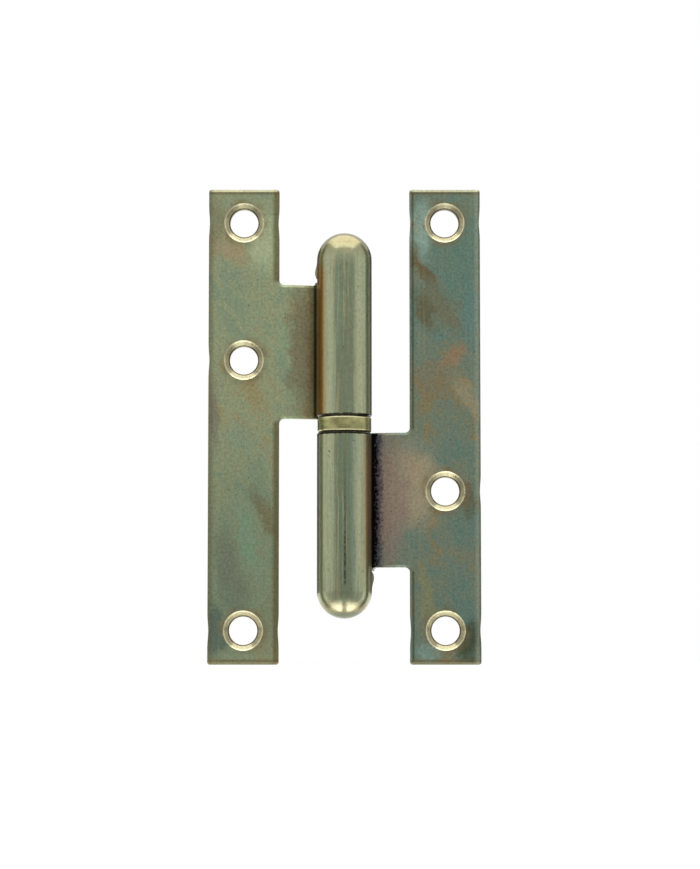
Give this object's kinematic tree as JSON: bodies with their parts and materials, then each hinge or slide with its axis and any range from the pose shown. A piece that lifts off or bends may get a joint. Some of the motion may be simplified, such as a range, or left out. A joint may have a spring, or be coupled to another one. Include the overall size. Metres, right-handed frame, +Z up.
{
  "type": "lift-off door hinge",
  "caption": "Steel lift-off door hinge: two tall countersunk leaves, each rolled into a round-ended knuckle, turning on a fixed pin with a ring between them.",
  "frame": {"origin": "on the pin axis at mid height, in the middle of the ring between the knuckles", "axes": "+Z up along the pin, towards the leaf that lifts off; -Y is the front, where the countersinks and the knuckles stand out; the leaves open flat along X, the one that lifts off on -X"},
  "size_m": [0.08, 0.016, 0.14],
  "materials": {
    "plated_leaf": "yellow chromate over zinc, olive to teal, satin",
    "pin_steel": "bright drawn steel, lightly greased",
    "ring_brass": "turned brass, satin"
  },
  "bodies": {
    "lower": {"lower_leaf": "plated_leaf", "hinge_pin": "pin_steel"},
    "ring": {"friction_ring": "ring_brass"},
    "upper": {"upper_leaf": "plated_leaf"}
  },
  "joints": [
    {"name": "leaf_swing", "type": "hinge", "parent": "lower", "child": "ring", "pos_m": [0, 0, 0], "axis": [0, 0, 1], "range_deg": [-150, 180]},
    {"name": "lift_off", "type": "slide", "parent": "ring", "child": "upper", "axis": [0, 0, 1], "range_m": [0, 0.045]}
  ]
}
